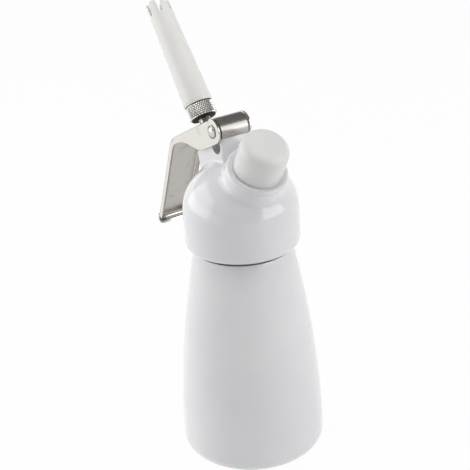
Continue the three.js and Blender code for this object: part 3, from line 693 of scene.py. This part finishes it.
lip_places = [0.05 - LEVER_HALF, -LIP_CORNER, LIP_CORNER, LEVER_HALF - 0.05]
end_section = [(y, 0) for y in lip_places] + [(y, SHEET) for y in reversed(lip_places)]
lip_way = HANDLE * math.cos(radians(LIP_TURN)) - square_to(HANDLE) * math.sin(radians(LIP_TURN))
lip = swept(
    [beside_handle(HANDLE_LENGTH - 0.4, depth, y) for y, depth in end_section],
    [("run", HANDLE * 0.8), ("bend", LIP_CENTRE, -LIP_TURN, 18), ("run", lip_way * 1.6)],
)
ear_edge = [on_web(along, height) for along, height in (
    (4.4, -5.94), (12.8, -5.64), (18, -5.1), (20.7, -4.1),
    (23.3, -2.5), (27.3, -0.4), (31.2, 1.3), (34.8, 2.1),
)]
ear_outline = [
    *arc(PIVOT_X, PIVOT_Z, EAR_RADIUS, WEB_SLOPE - 90, WEB_SLOPE + 90 - 6, 24),
    *[(p.x, p.z) for p in (on_web(SLIT_BACK, WEB_DISTANCE - OUTER_FOLD * 0.6),
                           on_web(SLIT_BACK, WEB_DISTANCE - OUTER_FOLD),
                           on_web(CORNER_DISTANCE - BEND_REACH, WEB_DISTANCE - OUTER_FOLD),
                           on_web(CORNER_DISTANCE - BEND_REACH, WEB_DISTANCE - FLANGE + 0.2))],
    *rounded([(p.x, p.z, 5) for p in reversed(ear_edge)]),
]
# The ears stand a hair inside the channel's sides
ears = [
    plate(ear_outline, low, low + SHEET - 0.01, 0.35, 3)
    for low in (0.005 - LEVER_HALF, LEVER_HALF - SHEET + 0.005)
]


def slot_tool():
    """A bar with round ends, along the web, that cuts the stem's slot."""
    bm = bmesh.new()
    points = arc(1.5, 0, STEM_SLOT, -90, 90, 12) + arc(-0.5, 0, STEM_SLOT, 90, 270, 12)
    face = bm.faces.new([bm.verts.new((x, y, -3)) for x, y in points])
    made = bmesh.ops.extrude_face_region(bm, geom=[face], use_keep_orig=True)
    bmesh.ops.translate(bm, verts=verts_of(made["geom"]), vec=(0, 0, 6))
    bmesh.ops.recalc_face_normals(bm, faces=bm.faces[:])
    out = square_to(WEB)
    basis = Matrix(((WEB.x, 0, out.x, 0), (0, 1, 0, 0), (WEB.z, 0, out.z, 0), (0, 0, 0, 1)))
    return placed(bm, Matrix.Translation(on_web(STEM_ARM, WEB_DISTANCE - SHEET / 2)) @ basis)


lever = combined(channel, [roll, lip, *ears], "UNION")
lever = combined(lever, [slot_tool(), cross_bar(PIN_RADIUS + 0.08, PIVOT_X, PIVOT_Z)], "DIFFERENCE")


def painted_shade_edge(spot, way):
    """Faces darkened with painted shade: the sheared rim of a flange, the outside of the long folds and the
    corners of the lip.
    """
    along = (spot - HANDLE_START).dot(HANDLE)
    depth = (HANDLE_START - spot).dot(square_to(HANDLE))
    rim = along > 0 and depth > FLANGE - 0.3 and abs(spot.y) > LEVER_HALF - SHEET - 0.1 and abs(way.y) < 0.8
    fold = abs(spot.y) > LEVER_HALF - OUTER_FOLD and 0.1 < abs(way.y) < (0.96 if along > -2 else 0.6)
    corner = along > HANDLE_LENGTH and depth > SHEET and abs(spot.y) > LIP_CORNER
    return rim or corner or (fold and max(way.dot(square_to(HANDLE)), way.dot(square_to(WEB))) > 0.2)


def shaded_satin_face(spot, way):
    """The handle's inner face and the roll of the web, which get the greyer satin steel as painted shade."""
    along = (spot - HANDLE_START).dot(HANDLE)
    depth = (HANDLE_START - spot).dot(square_to(HANDLE))
    inner = along > 2 and way.dot(square_to(HANDLE)) < -0.8 and depth < SHEET + 0.3
    near_pivot = (spot - PIVOT_POINT).xz.length < WEB_DISTANCE + 0.2
    return inner or near_pivot and abs(spot.y) < ROLL_HALF + 0.1 and abs(way.y) < 0.5


# The lever's rims, folds and lip corners get painted shade, and its inner face and roll a greyer painted
# shade
lever = finish(lever, painted_shade_edge, shaded_satin_face)
piece("lever_plate", lever, "lever", (STEEL, PAINTED_SHADE_STEEL, SHADED_SATIN_STEEL), ["lever"])

rivet_seat = LEVER_HALF + 0.08
head_side = [
    (PIN_RADIUS, rivet_seat),
    (RIVET_RADIUS, rivet_seat),
    (RIVET_RADIUS, 9.3),
    (RIVET_RADIUS - 0.5, 9.45),
    *arc(0, 6.8, 3.6, 42, 88, 8),
    (0, 10.4),
]
rivet_profile = [*reversed([(r, -z) for r, z in head_side]), *head_side]
# The rivet's rim gets the darkened steel as a painted shadow round its head
rivet = finish(spun(rivet_profile, 48), lambda spot, way: RIVET_RADIUS - 0.6 < spot.xy.length)
piece("pivot_rivet", rivet, "lever", (NICKEL, PAINTED_SHADE_STEEL), ["pivot_pin"], PIVOT)

# Valve stem, its collar and spring
stem_profile = [(0, -30), (2, -30), (2, -24.1), (2.6, -24.1), (2.6, 9.6), (3, 9.6)]
for i in range(5):
    low = 9.9 + 0.8 * i
    stem_profile += [(3, low), (2.65, low + 0.25), (2.65, low + 0.35), (3, low + 0.6)]
stem_profile += [(3, 24), (1.4, 24), (1.4, -23), (0, -23)]
piece("stem_rod", spun(stem_profile, 48), "stem", NICKEL, ["valve_stem"], VALVE)
# The web, which leans this far off square to the valve's axis at rest, runs on the collar's round top
WEB_LEAN = radians(STEM_TILT - WEB_SLOPE)
COLLAR_ROUND = 8
web_reach = WEB_DISTANCE - SHEET + STEM_ARM * math.sin(WEB_LEAN)
collar_centre = (web_reach - math.sqrt(COLLAR_ROUND**2 - STEM_SLOT**2)) / math.cos(WEB_LEAN) - 0.3


def collar_top(radius):
    return collar_centre + math.sqrt(COLLAR_ROUND**2 - radius**2)


collar_bore, collar_rim = 2.68, 5.7
collar_profile = rounded([
    (collar_bore, 3.6),
    (collar_rim, 3.6, 0.4),
    (collar_rim, collar_top(collar_rim) - 0.3, 0.3),
    *[(r, collar_top(r)) for r in (5.4, 4.9, 4.4, 3.9, 3.4, 3.0, collar_bore)],
], closed=True)
piece("collar_bead", spun(collar_profile, 64), "stem", NICKEL, ["stem_collar"], VALVE)
wire = arc(3.6, 0, 0.45, 0, 324, 9)
spring_low, spring_high, spring_turns = -11.55, 2.85, 7
spring = coil(wire, (spring_high - spring_low) / spring_turns, spring_turns)
spring_piece = piece(
    "spring_wire", placed(spring, Matrix.Translation((0, 0, spring_low))), "head", STEEL,
    ["valve_spring"], VALVE, crease=60,
)
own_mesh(spring_piece)
washer = rounded([(3.1, 12.3), (5.9, 12.3, 0.2), (6.1, 12.84, 0.1), (3.1, 12.84)], closed=True)
piece("adapter_ring_seal", spun(washer, 48), "stem", RUBBER, ["adapter_washer"], VALVE)


def knurled_band(radius, depth, low, high, teeth, rows):
    """A ring whose outer face is a field of small pyramids, as a diamond knurl leaves it."""
    height = high - low
    inside, valley = radius - 1.2, radius - depth
    profile = [(inside, low), (valley, low)]
    profile += [(valley, low + height * (i + 0.5) / rows) for i in range(rows)]
    profile += [(valley, high), (inside, high)]
    bm = spun(profile, 2 * teeth)
    valleys = []
    for vert in bm.verts:
        flat = math.hypot(vert.co.x, vert.co.y)
        if abs(flat - valley) > 0.01 or not low + 0.01 < vert.co.z < high - 0.01:
            continue
        row = round((vert.co.z - low) / height * rows - 0.5)
        column = round(math.atan2(vert.co.y, vert.co.x) / math.tau * 2 * teeth)
        if (row + column) % 2:
            vert.co.xy *= radius / flat
        else:
            valleys.append(vert)
    bmesh.ops.connect_verts(bm, verts=valleys)
    return bm


adapter_profile = rounded([
    (3.1, ADAPTER_LOW),
    (6.3, ADAPTER_LOW),
    (6.5, ADAPTER_LOW + 0.2),
    (6.55, ADAPTER_HIGH - 0.2, 0.1),
    (6.4, ADAPTER_HIGH),
    (SPIGOT_RADIUS, ADAPTER_HIGH, 0.2),
    (SPIGOT_RADIUS, SPIGOT_TOP, 0.5),
    (1.4, SPIGOT_TOP),
    (1.4, 24.3),
    (3.1, 24.3),
], closed=True)
# The diamonds are drawn a little coarse, so that they show
knurl = knurled_band(ADAPTER_RADIUS, 0.5, ADAPTER_LOW + 0.1, ADAPTER_HIGH - 0.2, teeth=34, rows=7)
# The knurl's diamonds get the lighter nickel as painted light
adapter = finish(
    together([spun(adapter_profile, 96), knurl]),
    lambda spot, way: spot.xy.length > 6.52 and way.xy.length > 0.3,
)
piece(
    "knurled_adapter", adapter, "stem", (NICKEL, LIGHTENED_KNURL_NICKEL), ["nozzle_adapter"], VALVE,
    crease=20,
)

# Nozzle
tip_bore = NOZZLE_TIP - NOZZLE_WALL
socket = SPIGOT_RADIUS + 0.3
socket_end = NOZZLE_LOW + 9.2
nozzle_profile = rounded([
    (socket, NOZZLE_LOW, 0.1),
    (6.5, NOZZLE_LOW, 0.1),
    (6.6, NOZZLE_SKIRT, 0.1),
    (NOZZLE_BASE - 0.2, NOZZLE_SKIRT, 0.2),
    (NOZZLE_BASE, NOZZLE_LOW + 1, 0.5),
    (NOZZLE_TIP, NOZZLE_HIGH, 0.4),
    (tip_bore, NOZZLE_HIGH, 0.3),
    ((tip_bore + socket) / 2, socket_end),
    (socket, socket_end),
], closed=True, steps=4)
# Half a slot, from its straight side to the round shoulder of the tooth beside it
tooth_side = arc(2.9, -1.9, 1.9, 180, 90, 6) + [(2.9, 1)]
nozzle_cuts = []
for i in range(3):
    cut_outline = arc(0, NOZZLE_HIGH - SLOT_DEPTH, 0.75, 180, 360, 12)
    cut_outline += [(x, NOZZLE_HIGH + z) for x, z in tooth_side]
    cut_outline += [(-x, NOZZLE_HIGH + z) for x, z in reversed(tooth_side)]
    turn = Matrix.Rotation(radians(60 * i + TEETH_TURN), 4, "Z")
    nozzle_cuts.append(placed(plate(cut_outline, -9, 9), turn))
nozzle = combined(spun(nozzle_profile, 96), nozzle_cuts, "DIFFERENCE")
piece("nozzle_tube", nozzle, "nozzle", PLASTIC, ["nozzle"], VALVE)

# Charger inlet and its cap
nipple_profile = [(1.68, -11), (6.42, -11), (6.42, 1.4), (9.2, 1.4), (9.2, 2.9), (8.3, 2.9)]
for i in range(4):
    low = 3.1 + 1.25 * i
    nipple_profile += [(8.3, low), (7.9, low + 0.5), (8.3, low + 1)]
nipple_profile += [(8.0, 8), (5.2, 8), (5.2, 3.6), (1.68, 3.6)]
piece("inlet_fitting", spun(nipple_profile, 64), "head", NICKEL, ["inlet_nipple"], INLET)
pin_profile = [(0.5, -13.9), (1.6, -13.9), (1.6, 5), (0.6, 7), (0.5, 7)]
piece("piercer", spun(pin_profile, 32), "head", NICKEL, ["piercing_pin"], INLET)
cap_inner = CAP_RADIUS - CAP_WALL
cap_ceiling = CAP_HEIGHT - CAP_WALL
crown = arc(CAP_RADIUS - CAP_EDGE, CAP_HEIGHT - CAP_EDGE, CAP_EDGE, 0, 84, 12)
cap_profile = [
    (0, cap_ceiling),
    (cap_inner - CAP_WALL, cap_ceiling),
    (cap_inner, cap_ceiling - CAP_WALL),
    (cap_inner, 0.2),
    (cap_inner + 0.2, 0),
    (CAP_RADIUS - 0.15, 0),
    (CAP_RADIUS, 0.15),
    *crown,
    (3.5, CAP_HEIGHT + CAP_CROWN * 0.6),
    (0, CAP_HEIGHT + CAP_CROWN),
]
piece("inlet_cap", spun(cap_profile, 96), "cap", CAP_PLASTIC, ["charger_cap"], INLET)


# Floor, light and camera

floor_mesh = bmesh.new()
bmesh.ops.create_grid(floor_mesh, x_segments=2, y_segments=2, size=3)
floor = held(floor_mesh, "floor")
floor_material, _, floor_shader = surface("studio_floor")
floor_shader.inputs["Base Color"].default_value = linear("#f2f2f2")
floor_shader.inputs["Roughness"].default_value = 0.8
floor.data.materials.append(floor_material)


def seen_rays(material):
    """1 for the rays that show the background: to the camera, in a reflection or through a clear piece."""
    paths = add(material, "LightPath").outputs
    shown = paths["Is Camera Ray"]
    for other in ("Is Glossy Ray", "Is Transmission Ray"):
        shown = add(material, "Math", {0: shown, 1: paths[other]}, operation="MAXIMUM").outputs[0]
    return shown


# The floor shines white to those rays, through which its own shade keeps a trace of the shadow
share = add(floor_material, "Math", {0: seen_rays(floor_material), 1: 0.97}, operation="MULTIPLY")
glow = add(floor_material, "Emission", {"Color": linear("#ffffff"), "Strength": 1.0})
white_floor = add(
    floor_material, "MixShader", {0: share.outputs[0], 1: floor_shader.outputs[0], 2: glow.outputs[0]}
)
floor_end = next(n for n in floor_material.node_tree.nodes if n.type == "OUTPUT_MATERIAL")
floor_material.node_tree.links.new(white_floor.outputs[0], floor_end.inputs["Surface"])

world = bpy.data.worlds.new("studio")
world.use_nodes = True
bpy.context.scene.world = world
world.node_tree.nodes.clear()
room = add(world, "Background", {"Color": linear("#ffffff"), "Strength": 0.14})
seen = add(world, "Background", {"Color": linear("#ffffff"), "Strength": 1.0})
mixed = add(world, "MixShader", {0: seen_rays(world), 1: room.outputs[0], 2: seen.outputs[0]})
add(world, "OutputWorld", {"Surface": mixed.outputs[0]})


def softbox(name, spot, aim, width, height, radiance, mirrored=True):
    """A soft lamp, in metres, that the camera doesn't see; a radiance of 1 is the white of the floor."""
    lamp = bpy.data.lights.new(name, "AREA")
    lamp.shape = "RECTANGLE"
    lamp.size, lamp.size_y = width, height
    lamp.energy = radiance * math.pi * width * height
    obj = bpy.data.objects.new(name, lamp)
    obj.location = spot
    obj.rotation_euler = (aim - spot).to_track_quat("-Z", "Y").to_euler()
    obj.visible_camera = False
    obj.visible_glossy = mirrored
    bpy.context.scene.collection.objects.link(obj)


def dark_card(name, middle, across, upward, width, height, tone):
    """A grey board of the studio, in metres, that shows in gloss only; a tone of 1 is white."""
    bm = bmesh.new()
    bmesh.ops.create_grid(bm, x_segments=1, y_segments=1, size=0.5)
    basis = Matrix((across * width, upward * height, across.cross(upward))).transposed().to_4x4()
    bmesh.ops.transform(bm, matrix=Matrix.Translation(middle) @ basis, verts=bm.verts[:])
    obj = held(bm, name)
    board = bpy.data.materials.new(name)
    board.use_nodes = True
    board.node_tree.nodes.clear()
    shine = add(board, "Emission", {"Color": linear("#ffffff"), "Strength": tone})
    add(board, "OutputMaterial", {"Surface": shine.outputs[0]})
    obj.data.materials.append(board)
    obj.visible_camera = obj.visible_diffuse = obj.visible_shadow = obj.visible_transmission = False


# The camera stands 65 cm off, 26 degrees above the horizon, turned 31 degrees from the inlet's side
THETA = radians(31)
RISE = radians(26.157)
ROLL = radians(3.562)
DISTANCE = 650
PHOTO_WIDTH = 470
FOCAL_PIXELS = 1362.336
AIM_OFFSET = -3.61
spot = Vector((math.cos(THETA) * DISTANCE * math.cos(RISE), -math.sin(THETA) * DISTANCE * math.cos(RISE),
               100 + DISTANCE * math.sin(RISE)))
aim = Vector((AIM_OFFSET * math.sin(THETA), AIM_OFFSET * math.cos(THETA), 113.33))
back = (spot - aim).normalized()
right = UP.cross(back).normalized()
upward = back.cross(right)
turned_right = right * math.cos(ROLL) - upward * math.sin(ROLL)
turned_up = upward * math.cos(ROLL) + right * math.sin(ROLL)
camera_data = bpy.data.cameras.new("camera")
camera_data.sensor_width = 36
camera_data.lens = FOCAL_PIXELS * camera_data.sensor_width / PHOTO_WIDTH
camera_data.clip_start = 0.01
camera = bpy.data.objects.new("camera", camera_data)
facing = Matrix((turned_right, turned_up, back)).transposed().to_4x4()
camera.matrix_world = Matrix.Translation(spot * MM) @ facing
bpy.context.scene.collection.objects.link(camera)
bpy.context.scene.camera = camera

# The radiance of each window, and of the lamp that adds the rest of its light without a mirror image
LEFT_WINDOW, LEFT_FILL = 1.15, 1.15
RIGHT_WINDOW, RIGHT_FILL = 1.6, 0.6
TOP_FILL = 1.9
side_way = Vector((right.x, right.y, 0)).normalized()
front_way = Vector((back.x, back.y, 0)).normalized()
box_middle = Vector((0, 0, 0.45))
left_spot = box_middle - side_way * 0.94 - front_way * 0.12
high_middle = box_middle + UP * 0.15
right_spot = high_middle + (side_way * 0.9 + front_way * 0.44) * 0.95
softbox("left_window", left_spot + UP * 0.15, high_middle, 1.2, 1.1, LEFT_WINDOW)
softbox("right_window", right_spot, high_middle, 0.8, 1.1, RIGHT_WINDOW)
low_left, low_middle = left_spot - side_way * 0.02 - UP * 0.12, box_middle - UP * 0.12
softbox("left_fill", low_left, low_middle, 1.2, 0.8, LEFT_FILL, mirrored=False)
softbox("right_fill", right_spot + side_way * 0.02, high_middle, 0.8, 1.1, RIGHT_FILL, mirrored=False)
softbox("top_fill", UP, Vector((0, 0, 0)), 0.8, 0.8, TOP_FILL, mirrored=False)
dark_card("ceiling", Vector((0, 0, 0.95)), side_way, front_way, 6, 6, 0.2)
dark_card("front_wall", front_way * 1.2 + UP * 0.475, side_way, UP, 1.5, 0.95, 0.36)

bpy.context.scene.view_settings.view_transform = "Standard"
